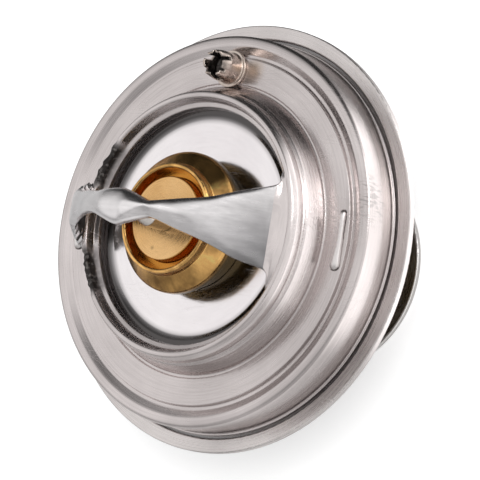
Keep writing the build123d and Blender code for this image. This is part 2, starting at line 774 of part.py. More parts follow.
# --- vent ball: drops on its seat, and lifts to close -------------------------------------
ball_seat_reach = (vent_ball_radius + 2 * press_gap) * sqrt(2)   # along the 45 degree seat
ball_z = flare_top_z + ball_seat_reach - vent_seat_radius
with BuildPart(Plane(origin=(0, vent_radius, ball_z))) as vent_ball:
    Sphere(vent_ball_radius)
vent_ball.part.label = "vent_ball"

# --- files --------------------------------------------------------------------------------
for piece in (flange_plate, bridge_cup, stirrup, valve_plate, spring_ring, capsule_cup,
              guide_insert, piston_pin, backup_ring, rubber_sleeve, wax_charge, main_spring,
              bypass_stem, spring_cup, bypass_disc, end_washer, bypass_spring, vent_tube,
              vent_ball):
    export_step(piece.part, f"parts/{piece.part.label}.step")
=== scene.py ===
import bpy
import bmesh
import math
from mathutils import Matrix, Vector, noise


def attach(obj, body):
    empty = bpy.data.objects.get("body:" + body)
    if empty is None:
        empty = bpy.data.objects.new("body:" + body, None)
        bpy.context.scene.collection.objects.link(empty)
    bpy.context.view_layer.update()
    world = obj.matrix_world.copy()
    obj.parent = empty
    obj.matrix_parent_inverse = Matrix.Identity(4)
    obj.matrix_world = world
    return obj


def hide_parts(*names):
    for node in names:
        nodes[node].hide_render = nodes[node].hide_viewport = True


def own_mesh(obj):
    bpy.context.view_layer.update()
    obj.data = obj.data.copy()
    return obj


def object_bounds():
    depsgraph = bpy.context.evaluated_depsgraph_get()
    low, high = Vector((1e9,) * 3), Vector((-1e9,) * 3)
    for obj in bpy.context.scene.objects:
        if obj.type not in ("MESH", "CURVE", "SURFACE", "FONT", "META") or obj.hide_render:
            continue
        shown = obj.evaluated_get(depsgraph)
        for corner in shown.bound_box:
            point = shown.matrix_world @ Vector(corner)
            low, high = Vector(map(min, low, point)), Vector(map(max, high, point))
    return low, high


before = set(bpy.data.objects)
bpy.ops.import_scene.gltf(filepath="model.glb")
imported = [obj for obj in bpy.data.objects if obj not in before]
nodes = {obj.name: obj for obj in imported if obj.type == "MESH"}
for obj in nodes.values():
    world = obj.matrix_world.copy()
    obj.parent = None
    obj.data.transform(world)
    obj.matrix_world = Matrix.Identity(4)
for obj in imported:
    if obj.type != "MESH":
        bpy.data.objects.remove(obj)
cadBox = [list(corner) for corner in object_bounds()]
mm = 0.001
print("frame loaded:", len(nodes), "nodes")

studio = {  # camera, lamps, floor and flags
    "cameraPlace": (0.29303, -0.04642, 0.35641),
    "cameraRight": (0.7737, 0.1576, -0.6136),
    "cameraUp": (-0.0601, 0.9824, 0.1766),
    "cameraBack": (0.6307, -0.0998, 0.7696),
    "lens": 225.0,
    "clipEnd": 20,
    "floorSize": 8.0,
    "floorPaint": (0.8, 0.8, 0.8, 1),
    "floorGlow": 0.31,  # what the floor gives of its own white, under the object's shadow
    "glossGlow": 0.32,  # added where metal mirrors the floor close by
    "roomLight": 0.8,  # world strength on matt surfaces
    "lamps": {  # place, aim, size in metres, then watts
        "keyLamp": ((0.66, 0.40, 0.40), (0, 0, 0), 0.4, 1.3),
    },
    "shadowLamp": ((0.68, 0.13, 0.95), (0, 0, 0), 0.5, 8.5),  # falls on matt surfaces only
    "flagRadius": 2.5,
    "flagBase": 0.40,  # how much of the white room gloss sees between the flags
    "flags": {  # heading and height in degrees, outer and inner cosine, change
        "right": (12, 6, 0.42, 0.80, 0.84),
        "lens": (-1, 51, 0.92, 0.985, -0.30),
        "top": (55, 76, 0.82, 0.97, 0.58),
        "topFront": (-115, 68, 0.84, 0.97, -0.15),
        "behind": (105, 14, 0.50, 0.84, -0.37),
        "left": (170, 46, 0.60, 0.93, 0.50),
        "front": (-65, 32, 0.40, 0.90, 0.16),
    },
}


def linked(data, name):
    thing = bpy.data.objects.new(name, data)
    bpy.context.scene.collection.objects.link(thing)
    return thing


def addNode(tree, kind, links=None, **settings):  # links hold sockets or plain values
    node = tree.nodes.new(kind)
    for key, value in settings.items():
        setattr(node, key, value)
    for key, value in (links or {}).items():
        if isinstance(value, bpy.types.NodeSocket):
            tree.links.new(value, node.inputs[key])
        else:
            node.inputs[key].default_value = value
    return node


def put(tree, kind, links=None, **settings):
    return addNode(tree, "ShaderNode" + kind, links, **settings)


def calc(tree, operation, first, second=0.0, third=0.0):
    return put(tree, "Math", {0: first, 1: second, 2: third}, operation=operation).outputs[0]


def ranged(tree, value, low, high, start=0.0, end=1.0, **settings):  # low to high becomes start to end
    return put(tree, "MapRange", {"Value": value, "From Min": low, "From Max": high, "To Min": start,
                                  "To Max": end}, **settings).outputs[0]


def seenByEye(tree):  # 1 for what is seen straight, in a mirror or through glass
    path = put(tree, "LightPath").outputs
    either = calc(tree, "MAXIMUM", path["Is Camera Ray"], path["Is Glossy Ray"])
    return calc(tree, "MAXIMUM", either, path["Is Transmission Ray"])


def makeCamera():
    camera = linked(bpy.data.cameras.new("camera"), "camera")
    rows = [Vector(studio[key]).normalized() for key in ("cameraRight", "cameraUp", "cameraBack")]
    camera.matrix_world = Matrix.Translation(studio["cameraPlace"]) @ Matrix(rows).transposed().to_4x4()
    camera.data.lens = studio["lens"]
    camera.data.clip_end = studio["clipEnd"]
    bpy.context.scene.camera = camera
    bpy.context.scene.view_settings.view_transform = "Standard"


def aimed(place, aim):
    return (Vector(aim) - Vector(place)).to_track_quat("-Z", "Y").to_matrix().to_4x4()


def makeLamps():
    lamps = {**studio["lamps"], "shadowLamp": studio["shadowLamp"]}
    for name, (place, aim, size, power) in lamps.items():
        data = bpy.data.lights.new(name, "AREA")
        data.shape = "DISK"
        data.size = size
        data.energy = power
        lamp = linked(data, name)
        lamp.matrix_world = Matrix.Translation(place) @ aimed(place, aim)
        lamp.visible_glossy = name != "shadowLamp"


def flagTone(tree):  # share of the white room that the flags let through
    spot = put(tree, "TexCoord").outputs["Object"]
    heading = put(tree, "VectorMath", {0: spot}, operation="NORMALIZE").outputs[0]
    total = studio["flagBase"]
    for turn, height, outer, inner, change in studio["flags"].values():
        turn, height = math.radians(turn), math.radians(height)
        towards = (math.cos(turn) * math.cos(height), math.sin(turn) * math.cos(height), math.sin(height))
        near = put(tree, "VectorMath", {0: heading, 1: towards}, operation="DOT_PRODUCT").outputs["Value"]
        lobe = ranged(tree, near, outer, inner, interpolation_type="SMOOTHSTEP")
        total = calc(tree, "MULTIPLY_ADD", lobe, change, total)
    return put(tree, "Clamp", {"Value": total}).outputs[0]


def emptyMaterial(name):
    finish = bpy.data.materials.new(name)
    finish.use_nodes = True
    finish.node_tree.nodes.clear()
    return finish, finish.node_tree


def makeRoom():
    world = bpy.data.worlds.new("room")
    world.use_nodes = True
    tree = world.node_tree
    tree.nodes.clear()
    seen = put(tree, "Background", {"Color": (1, 1, 1, 1), "Strength": 1.0}).outputs[0]
    matt = put(tree, "Background", {"Color": (1, 1, 1, 1), "Strength": studio["roomLight"]}).outputs[0]
    mix = put(tree, "MixShader", {0: seenByEye(tree), 1: matt, 2: seen}).outputs[0]
    put(tree, "OutputWorld", {"Surface": mix})
    bpy.context.scene.world = world


def makeFloor():  # white to the eye with its shadow kept, and dimmed by the flags in mirrors
    half, level = studio["floorSize"] / 2, cadBox[0][2]
    mesh = bpy.data.meshes.new("floor")
    corners = [(-half, -half, level), (half, -half, level), (half, half, level), (-half, half, level)]
    mesh.from_pydata(corners, [], [(0, 1, 2, 3)])
    floor = linked(mesh, "floor")
    finish, tree = emptyMaterial("floorWhite")
    matt = put(tree, "BsdfDiffuse", {"Color": studio["floorPaint"]}).outputs[0]
    gloss = put(tree, "LightPath").outputs["Is Glossy Ray"]
    strength = calc(tree, "MULTIPLY_ADD", gloss, studio["glossGlow"], studio["floorGlow"])
    glow = put(tree, "Emission", {"Color": (1, 1, 1, 1), "Strength": strength}).outputs[0]
    lit = put(tree, "AddShader", {0: matt, 1: glow}).outputs[0]
    mix = put(tree, "MixShader", {0: seenByEye(tree), 1: matt, 2: lit}).outputs[0]
    dim = calc(tree, "MULTIPLY", calc(tree, "SUBTRACT", 1.0, flagTone(tree)), gloss)
    dark = put(tree, "Emission", {"Color": (1, 1, 1, 1), "Strength": 0.0}).outputs[0]
    mix = put(tree, "MixShader", {0: dim, 1: mix, 2: dark}).outputs[0]
    put(tree, "OutputMaterial", {"Surface": mix})
    floor.data.materials.append(finish)


def makeFlags():  # a ball round the object that only tints what metal mirrors
    mesh = bpy.data.meshes.new("flags")
    work = bmesh.new()
    bmesh.ops.create_uvsphere(work, u_segments=48, v_segments=24, radius=studio["flagRadius"])
    work.to_mesh(mesh)
    work.free()
    flags = linked(mesh, "flags")
    scrim, tree = emptyMaterial("flagScrim")
    through = put(tree, "BsdfTransparent", {"Color": flagTone(tree)}).outputs[0]
    put(tree, "OutputMaterial", {"Surface": through})
    flags.data.materials.append(scrim)
    flags.visible_camera = False
    flags.visible_diffuse = False
    flags.visible_shadow = False


makeCamera()
makeLamps()
makeRoom()
makeFloor()
makeFlags()
print("studio ready")


def newGroup(name, inputs, outputs):  # a shared finish, with named inputs
    tree = bpy.data.node_groups.new(name, "ShaderNodeTree")
    for label, kind, value in inputs:
        socket = tree.interface.new_socket(name=label, in_out="INPUT", socket_type="NodeSocket" + kind)
        if value is not None:
            socket.default_value = value
    for label, kind in outputs:
        tree.interface.new_socket(name=label, in_out="OUTPUT", socket_type="NodeSocket" + kind)
    return tree, tree.nodes.new("NodeGroupInput").outputs, tree.nodes.new("NodeGroupOutput").inputs


def turnedGrain():  # fine rings round the axis, as pressing and spinning leave them
    tree, given, made = newGroup(
        "turnedGrain",
        [("Vector", "Vector", None), ("Rings", "Float", 4000.0), ("Run", "Float", 3.0)],
        [("Value", "Float")])
    parts = put(tree, "SeparateXYZ", {0: given["Vector"]}).outputs
    flat = put(tree, "CombineXYZ", {0: parts[0], 1: parts[1]})
    radius = put(tree, "VectorMath", {0: flat.outputs[0]}, operation="LENGTH").outputs["Value"]
    heading = put(tree, "VectorMath", {0: flat.outputs[0]}, operation="NORMALIZE").outputs[0]
    heading = put(tree, "VectorMath", {0: heading, "Scale": given["Run"]}, operation="SCALE").outputs[0]
    across = calc(tree, "MULTIPLY_ADD", parts[2], 1.37, radius)
    height = calc(tree, "MULTIPLY", across, given["Rings"])
    split = put(tree, "SeparateXYZ", {0: heading}).outputs
    spot = put(tree, "CombineXYZ", {0: split[0], 1: split[1], 2: height})
    grain = put(tree, "TexNoise", {"Vector": spot.outputs[0], "Scale": 1.0, "Detail": 3.0, "Roughness": 0.6})
    tree.links.new(grain.outputs[0], made["Value"])
    return tree


def straightGrain():  # brushed lines along one direction
    tree, given, made = newGroup(
        "straightGrain",
        [("Vector", "Vector", None), ("Across", "Vector", (1, 1, 1)), ("Scale", "Float", 1000.0)],
        [("Value", "Float")])
    spot = put(tree, "VectorMath", {0: given["Vector"], 1: given["Across"]}, operation="MULTIPLY")
    grain = put(tree, "TexNoise", {"Vector": spot.outputs[0], "Scale": given["Scale"], "Detail": 4.0,
                                   "Roughness": 0.65})
    tree.links.new(grain.outputs[0], made["Value"])
    return tree


def fineScratches():  # sparse hair scratches in several directions
    tree, given, made = newGroup(
        "fineScratches",
        [("Vector", "Vector", None), ("Scale", "Float", 300.0), ("Amount", "Float", 0.5)],
        [("Mask", "Float")])
    total = None
    for k, turn in enumerate((0.3, 1.5, 2.4)):
        turned = put(tree, "Mapping", {"Vector": given["Vector"], "Rotation": (0.2 * k, 0.1, turn),
                                       "Scale": (0.06, 1.0, 1.0)})
        lines = put(tree, "TexNoise", {"Vector": turned.outputs[0], "Scale": given["Scale"],
                                       "Detail": 2.0, "Distortion": 0.2})
        line = calc(tree, "SUBTRACT", lines.outputs[0], 0.5)
        line = calc(tree, "ABSOLUTE", line)
        line = ranged(tree, line, 0.012, 0.0)
        total = line if total is None else calc(tree, "MAXIMUM", total, line)
    patch = put(tree, "TexNoise", {"Vector": given["Vector"], "Scale": 160.0, "Detail": 1.0})
    patch = ranged(tree, patch.outputs[0], 0.5, 0.65)
    total = calc(tree, "MULTIPLY", total, patch)
    total = calc(tree, "MULTIPLY", total, given["Amount"])
    tree.links.new(total, made["Mask"])
    return tree


def softBlotches():  # broad uneven patches of tint and gloss
    tree, given, made = newGroup(
        "softBlotches",
        [("Vector", "Vector", None), ("Scale", "Float", 60.0), ("Low", "Float", 0.35),
         ("High", "Float", 0.7)],
        [("Mask", "Float")])
    cloud = put(tree, "TexNoise", {"Vector": given["Vector"], "Scale": given["Scale"], "Detail": 4.0,
                                   "Roughness": 0.55})
    tree.links.new(ranged(tree, cloud.outputs[0], given["Low"], given["High"]), made["Mask"])
    return tree


def wornEdge():  # bright line where an edge is rubbed, and a softened normal
    tree, given, made = newGroup(
        "wornEdge",
        [("Radius", "Float", 0.0002)],
        [("Mask", "Float"), ("Normal", "Vector")])
    soft = put(tree, "Bevel", {"Radius": given["Radius"]}, samples=4)
    face = put(tree, "NewGeometry")
    same = put(tree, "VectorMath", {0: soft.outputs[0], 1: face.outputs["Normal"]}, operation="DOT_PRODUCT")
    tree.links.new(ranged(tree, same.outputs["Value"], 0.995, 0.85), made["Mask"])
    tree.links.new(soft.outputs[0], made["Normal"])
    return tree


groups = {tree.name: tree for tree in (turnedGrain(), straightGrain(), fineScratches(), softBlotches(),
                                       wornEdge())}
print("finish groups ready")


def use(tree, name, links):
    return put(tree, "Group", links, node_tree=groups[name])


metalLook = {  # what every metal shares
    "grainRange": (0.3, 0.7),  # the grain's noise from dark to bright
    "rubbedGain": 1.25,  # how much brighter a rubbed edge is
    "stainAndShadeShare": 0.7,
    "scratchRough": 0.25,  # roughness that scratches, torn sheet and the painted shade within the vent tube add
    "tearAndShadeRough": 0.25,
    "relief": 0.00005,
    "gallCore": 0.4,  # share of the reach that is galled in full
    "gallStretch": (0.25, 1.0, 0.25),
    "gallScale": 2200.0,
    "gallRange": (0.5, 0.62),
    "gallShare": 0.45,
    "gallTint": (0.25, 0.235, 0.23),
    "tearAndShadeScale": 1500.0,
    "tearAndShadeRange": (0.52, 0.68),
    "tearAndShadeDark": (0.045, 0.04, 0.038),
    "tearAndShadeSpeck": (0.20, 0.185, 0.175),
}

finishes = {
    # colour, second colour in blotches, roughness low and high, ring grain, relief, scratches, rubbed edge;
    # bands are four radii in mm and a tint, stainAndShade and gall a place and reach in mm, paintedShadeBelow
    # two heights in mm
    "flangeSteel": dict(colour=(0.75, 0.70, 0.685), shade=(0.59, 0.545, 0.535), rough=(0.22, 0.36),
                        rings=5000.0, depth=0.25, scratch=0.35, edge=0.00018,
                        # the dark band beside the cup's lip is painted shade in the crevice
                        bands=((30.75, 30.95, 31.15, 31.5), (0.26, 0.25, 0.25))),
    "cupSteel": dict(colour=(0.71, 0.65, 0.64), shade=(0.57, 0.52, 0.51), rough=(0.18, 0.29),
                     rings=4200.0, depth=0.22, scratch=0.35, edge=0.00018, lines=0.09, tearAndShade="tearAndShade",
                     stainAndShade=((4.4, 25.2, 7.0), 2.6, (0.52, 0.40, 0.30)), gall=((29.8, 6.6, 6.6), 4.6)),
    "strapSteel": dict(colour=(0.85, 0.82, 0.82), shade=(0.60, 0.58, 0.585), rough=(0.17, 0.29), rings=0.0,
                       depth=0.16, scratch=0.12, edge=0.0003, lines=0.1, run=(0.05, 1.0, 0.3),
                       # the wide dark spot is painted shade over the fan's far side
                       stainAndShade=((18.0, -4.0, 13.4), 13.0, (0.06, 0.06, 0.064))),
    "stirrupSteel": dict(colour=(0.80, 0.76, 0.75), shade=(0.68, 0.64, 0.63), rough=(0.2, 0.34),
                         rings=0.0, depth=0.15, scratch=0.4, edge=0.0002),
    # near black: painted shade for the strap's underside
    "strapUndersideShade": dict(colour=(0.09, 0.085, 0.08), shade=(0.05, 0.046, 0.043), rough=(0.35, 0.5), rings=0.0,
                       depth=0.2, scratch=0.2, edge=0.0002),
    "plateMirror": dict(colour=(0.97, 0.925, 0.93), shade=(0.90, 0.85, 0.86), rough=(0.11, 0.18),
                        rings=1100.0, depth=0.03, scratch=0.6, edge=0.0002, lines=0.03,
                        # the dark band round the rim is painted shade in the gap under the seat
                        bands=((15.9, 17.5, 18.2, 18.5), (0.10, 0.093, 0.092))),
    "pinSteel": dict(colour=(0.55, 0.51, 0.48), shade=(0.42, 0.39, 0.36), rough=(0.12, 0.2),
                     rings=6000.0, depth=0.05, scratch=0.2, edge=0.0002),
    "springSteel": dict(colour=(0.34, 0.31, 0.30), shade=(0.22, 0.20, 0.19), rough=(0.25, 0.4),
                        rings=0.0, depth=0.08, scratch=0.3, edge=0.0001),
    "tubeNickel": dict(colour=(0.80, 0.70, 0.63), shade=(0.50, 0.42, 0.37), rough=(0.1, 0.24),
                       # the tube's hollow is painted dark with the torn finish, as shade
                       rings=0.0, depth=0.25, scratch=0.4, edge=0.0002, tearAndShade="paintedShadeInside"),
    "capsuleBrass": dict(colour=(0.95, 0.55, 0.19), shade=(0.30, 0.16, 0.055), rough=(0.12, 0.26),
                         rings=1600.0, depth=0.3, scratch=0.35, edge=0.0002, lines=0.38, cloudScale=260.0,
                         # the recess band is painted shade, deeper orange, between rim and insert
                         bands=((6.3, 6.42, 7.62, 7.75), (0.86, 0.47, 0.12)),
                         # the body below the head's rim gets painted shade
                         paintedShadeBelow=((12.9, 14.4), (0.10, 0.07, 0.03))),
    "insertBrass": dict(colour=(0.86, 0.545, 0.255), shade=(0.68, 0.38, 0.14), rough=(0.2, 0.32),
                        rings=3500.0, depth=0.25, scratch=0.25, edge=0.00015,
                        # the band past the insert's edge is painted shade in the recess
                        bands=((6.2, 6.4, 99, 100), (0.58, 0.24, 0.04)),
                        stainAndShade=((-1.58, -4.64, 17.0), 0.55, (0.16, 0.12, 0.05))),
    # dark colour: painted shade, on every part in this finish; the rim band paints the disc's rim back to
    # bright metal
    "discSteelPaintedShade": dict(colour=(0.38, 0.35, 0.325), shade=(0.13, 0.11, 0.10), rough=(0.2, 0.36),
                      rings=3600.0, depth=0.2, scratch=0.3, edge=0.0002,
                      bands=((15.95, 16.15, 99, 100), (0.85, 0.82, 0.80))),
}


def tinted(tree, paint, share, tint):  # the tint laid over the paint
    return put(tree, "Mix", {0: share, 6: paint, 7: (*tint, 1)}, data_type="RGBA").outputs[2]


def awayFrom(tree, spot, place):  # distance from a place given in mm
    place = tuple(part * mm for part in place)
    return put(tree, "VectorMath", {0: spot, 1: place}, operation="DISTANCE").outputs["Value"]


def banded(tree, spot, paint, radii, tint):  # a darker or brighter band between radii
    a, b, c, d = radii
    flat = put(tree, "VectorMath", {0: spot, 1: (1 / mm, 1 / mm, 0.0)}, operation="MULTIPLY").outputs[0]
    radius = put(tree, "VectorMath", {0: flat}, operation="LENGTH").outputs["Value"]
    rise = ranged(tree, radius, a, b, interpolation_type="SMOOTHSTEP")
    return tinted(tree, paint, calc(tree, "MULTIPLY", rise, ranged(tree, radius, d, c)), tint)


def shadedBelowHeight(tree, spot, paint, heights, tint):  # painted shade below a height
    low, high = heights
    height = put(tree, "SeparateXYZ", {0: spot}).outputs[2]
    share = ranged(tree, height, high * mm, low * mm, interpolation_type="SMOOTHSTEP")
    return tinted(tree, paint, share, tint)


def stainAndShadeSpot(tree, spot, paint, place, reach, tint):  # a tint round one spot: heat tint on the cup, a dark spot on the insert, painted shade over the strap's fan
    near = ranged(tree, awayFrom(tree, spot, place), reach * mm, 0.0, end=metalLook["stainAndShadeShare"],
                  interpolation_type="SMOOTHSTEP")
    return tinted(tree, paint, near, tint)


def galled(tree, spot, paint, place, reach):  # short rough strokes across the edge, round one spot
    look = metalLook
    near = ranged(tree, awayFrom(tree, spot, place), reach * mm, look["gallCore"] * reach * mm)
    strokes = put(tree, "VectorMath", {0: spot, 1: look["gallStretch"]}, operation="MULTIPLY").outputs[0]
    strokes = put(tree, "TexNoise", {"Vector": strokes, "Scale": look["gallScale"], "Detail": 2.0}).outputs[0]
    strokes = ranged(tree, strokes, *look["gallRange"])
    near = calc(tree, "MULTIPLY", calc(tree, "MULTIPLY", near, strokes), look["gallShare"])
    return tinted(tree, paint, near, look["gallTint"])


def tornAndShaded(tree, spot, paint, tearAndShadeShare):  # dark and pitted where the sheet is torn, and painted shade within the vent tube
    look = metalLook
    speck = put(tree, "TexNoise", {"Vector": spot, "Scale": look["tearAndShadeScale"], "Detail": 4.0}).outputs[0]
    speck = ranged(tree, speck, *look["tearAndShadeRange"])
    tint = tinted(tree, (*look["tearAndShadeDark"], 1), speck, look["tearAndShadeSpeck"])
    return put(tree, "Mix", {0: tearAndShadeShare, 6: paint, 7: tint}, data_type="RGBA").outputs[2]


def metal(name, colour, shade, rough, rings, depth, scratch, edge, lines=0.12, run=(1.0, 0.12, 1.0),
          tearAndShade=None, stainAndShade=None, bands=None, paintedShadeBelow=None, gall=None, cloudScale=60.0):
    finish = bpy.data.materials.new(name)
    finish.use_nodes = True
    tree = finish.node_tree
    shader = tree.nodes["Principled BSDF"]
    shader.inputs["Metallic"].default_value = 1.0
    spot = put(tree, "TexCoord").outputs["Object"]
    cloud = use(tree, "softBlotches", {"Vector": spot, "Scale": cloudScale}).outputs[0]
    hairs = use(tree, "fineScratches", {"Vector": spot, "Amount": scratch}).outputs[0]
    worn = use(tree, "wornEdge", {"Radius": edge}).outputs
    if rings:
        grain = use(tree, "turnedGrain", {"Vector": spot, "Rings": rings}).outputs[0]
    else:
        grain = use(tree, "straightGrain", {"Vector": spot, "Across": run}).outputs[0]
    paint = tinted(tree, (*colour, 1), cloud, shade)
    streak = ranged(tree, grain, *metalLook["grainRange"], 1.0 - lines, 1.0 + lines)
    paint = put(tree, "VectorMath", {0: paint, "Scale": streak}, operation="SCALE").outputs[0]
    bright = tuple(min(1.0, part * metalLook["rubbedGain"]) for part in colour)
    paint = tinted(tree, paint, worn["Mask"], bright)
    if bands:
        paint = banded(tree, spot, paint, *bands)
    if paintedShadeBelow:
        paint = shadedBelowHeight(tree, spot, paint, *paintedShadeBelow)
    if stainAndShade:
        paint = stainAndShadeSpot(tree, spot, paint, *stainAndShade)
    if gall:
        paint = galled(tree, spot, paint, *gall)
    gloss = ranged(tree, grain, *metalLook["grainRange"], *rough)
    gloss = calc(tree, "MULTIPLY_ADD", hairs, metalLook["scratchRough"], gloss)
    if tearAndShade:
        tearAndShadeShare = put(tree, "Attribute", attribute_name=tearAndShade).outputs["Fac"]
        paint = tornAndShaded(tree, spot, paint, tearAndShadeShare)
        gloss = calc(tree, "MULTIPLY_ADD", tearAndShadeShare, metalLook["tearAndShadeRough"], gloss)
    relief = calc(tree, "SUBTRACT", grain, hairs)
    bump = put(tree, "Bump", {"Strength": depth, "Distance": metalLook["relief"], "Height": relief,
                              "Normal": worn["Normal"]})
    tree.links.new(paint, shader.inputs["Base Color"])
    tree.links.new(gloss, shader.inputs["Roughness"])
    tree.links.new(bump.outputs[0], shader.inputs["Normal"])
    return finish


softFinishes = {
    "sleeveRubber": dict(colour=(0.02, 0.02, 0.02), shade=(0.035, 0.034, 0.033), rough=(0.5, 0.7), scale=400),
    "backupWhite": dict(colour=(0.75, 0.74, 0.70), shade=(0.68, 0.66, 0.6), rough=(0.4, 0.6), scale=500),
    "waxAmber": dict(colour=(0.55, 0.30, 0.12), shade=(0.42, 0.2, 0.07), rough=(0.35, 0.5), scale=200),
}


def softSolid(name, colour, shade, rough, scale):  # rubber, wax and the white ring
    finish = bpy.data.materials.new(name)
    finish.use_nodes = True
    tree = finish.node_tree
    shader = tree.nodes["Principled BSDF"]
    spot = put(tree, "TexCoord").outputs["Object"]
    cloud = use(tree, "softBlotches", {"Vector": spot, "Scale": scale}).outputs[0]
    tree.links.new(tinted(tree, (*colour, 1), cloud, shade), shader.inputs["Base Color"])
    tree.links.new(ranged(tree, cloud, 0.0, 1.0, *rough), shader.inputs["Roughness"])
    bump = put(tree, "Bump", {"Strength": 0.2, "Distance": 0.0001, "Height": cloud})
    tree.links.new(bump.outputs[0], shader.inputs["Normal"])
    return finish


materials = {name: metal(name, **values) for name, values in finishes.items()}
materials.update({name: softSolid(name, **values) for name, values in softFinishes.items()})
print("materials ready:", len(materials))

finishOfNode = {
    "flange_plate": "flangeSteel", "bridge_cup": "cupSteel", "stirrup": "stirrupSteel",
    "valve_plate": "plateMirror", "spring_ring": "discSteelPaintedShade", "capsule_cup": "capsuleBrass",
    "guide_insert": "insertBrass", "piston_pin": "pinSteel", "backup_ring": "backupWhite",
    "rubber_sleeve": "sleeveRubber", "wax_charge": "waxAmber", "main_spring": "springSteel",
    "bypass_stem": "pinSteel", "spring_cup": "discSteelPaintedShade", "bypass_disc": "discSteelPaintedShade",
    "end_washer": "discSteelPaintedShade", "bypass_spring": "springSteel", "vent_tube": "tubeNickel",
    "vent_ball": "pinSteel",
}
for name, finish in finishOfNode.items():
    nodes[name].data.materials.clear()
    nodes[name].data.materials.append(materials[finish])


def ease(value, low, high):  # 0 below low, 1 above high, smooth between
    share = min(1.0, max(0.0, (value - low) / (high - low)))
    return share * share * (3 - 2 * share)


def rounded(corners, steps=4):  # corners are (radius, height, rounding), all round a closed line
    line = []
    for k, (r, z, rounding) in enumerate(corners):
        here = Vector((r, z))
        back = Vector(corners[k - 1][:2]) - here
        ahead = Vector(corners[(k + 1) % len(corners)][:2]) - here
        if rounding <= 0:
            line.append(here)
            continue
        half = back.angle(ahead) / 2
        reach = min(rounding / math.tan(half), 0.49 * back.length, 0.49 * ahead.length)
        start, end = here + back.normalized() * reach, here + ahead.normalized() * reach
        for step in range(steps + 1):
            share = step / steps
            line.append(start.lerp(here, share).lerp(here.lerp(end, share), share))
    return line


def outward(mesh):  # merge doubles, close poles and turn the faces outwards
    work = bmesh.new()
    work.from_mesh(mesh)
    bmesh.ops.remove_doubles(work, verts=work.verts, dist=1e-7)
    bmesh.ops.recalc_face_normals(work, faces=work.faces)
    work.to_mesh(mesh)
    work.free()
    return mesh


def closed(name, verts, faces):
    mesh = bpy.data.meshes.new(name)
    mesh.from_pydata(verts, [], faces)
    return linked(outward(mesh), name)


def skin(rows, ring):  # faces between the rows of a closed outline
    faces = []
    for row in range(rows - 1):
        for k in range(ring):
            after = (k + 1) % ring
            faces.append((row * ring + k, row * ring + after, (row + 1) * ring + after, (row + 1) * ring + k))
    return faces


def spun(name, line, turns=256, shift=(0, 0), change=None):  # closed line turned about the axis
    verts, faces, rows = [], [], len(line)
    for k in range(turns):
        angle = 2 * math.pi * k / turns
        for r, z in line:
            if change:
                r, z = change(r, z, angle)
            x, y = shift[0] + r * math.cos(angle), shift[1] + r * math.sin(angle)
            verts.append((x * mm, y * mm, z * mm))
    for k in range(turns):
        after = (k + 1) % turns
        for row in range(rows):
            up = (row + 1) % rows
            faces.append((k * rows + row, after * rows + row, after * rows + up, k * rows + up))
    return closed(name, verts, faces)


def block(name, low, high):  # plain box that only cuts
    mesh = bpy.data.meshes.new(name)
    work = bmesh.new()
    bmesh.ops.create_cube(work, size=1.0)
    for vert in work.verts:
        vert.co = [((a + b) / 2 + c * (b - a)) * mm for a, b, c in zip(low, high, vert.co)]
    work.to_mesh(mesh)
    work.free()
    return linked(mesh, name)


def smoothed(mesh, angle):
    for face in mesh.polygons:
        face.use_smooth = True
    mesh.set_sharp_from_angle(angle=math.radians(angle))


def combined(name, base, others):  # others are (operation, object); all become one plain mesh
    for operation, other in others:
        if not other.data.materials:
            other.data.materials.append(base.data.materials[0])
        cut = base.modifiers.new(operation, "BOOLEAN")
        cut.operation = operation
        cut.solver = "EXACT"
        cut.material_mode = "TRANSFER"
        cut.object = other
    bpy.context.view_layer.update()
    mesh = bpy.data.meshes.new_from_object(base.evaluated_get(bpy.context.evaluated_depsgraph_get()))
    mesh.name = name
    for thing in [base] + [other for _, other in others]:
        bpy.data.objects.remove(thing)
    if not mesh.polygons:
        raise ValueError(name + " came out empty")
    return linked(mesh, name)


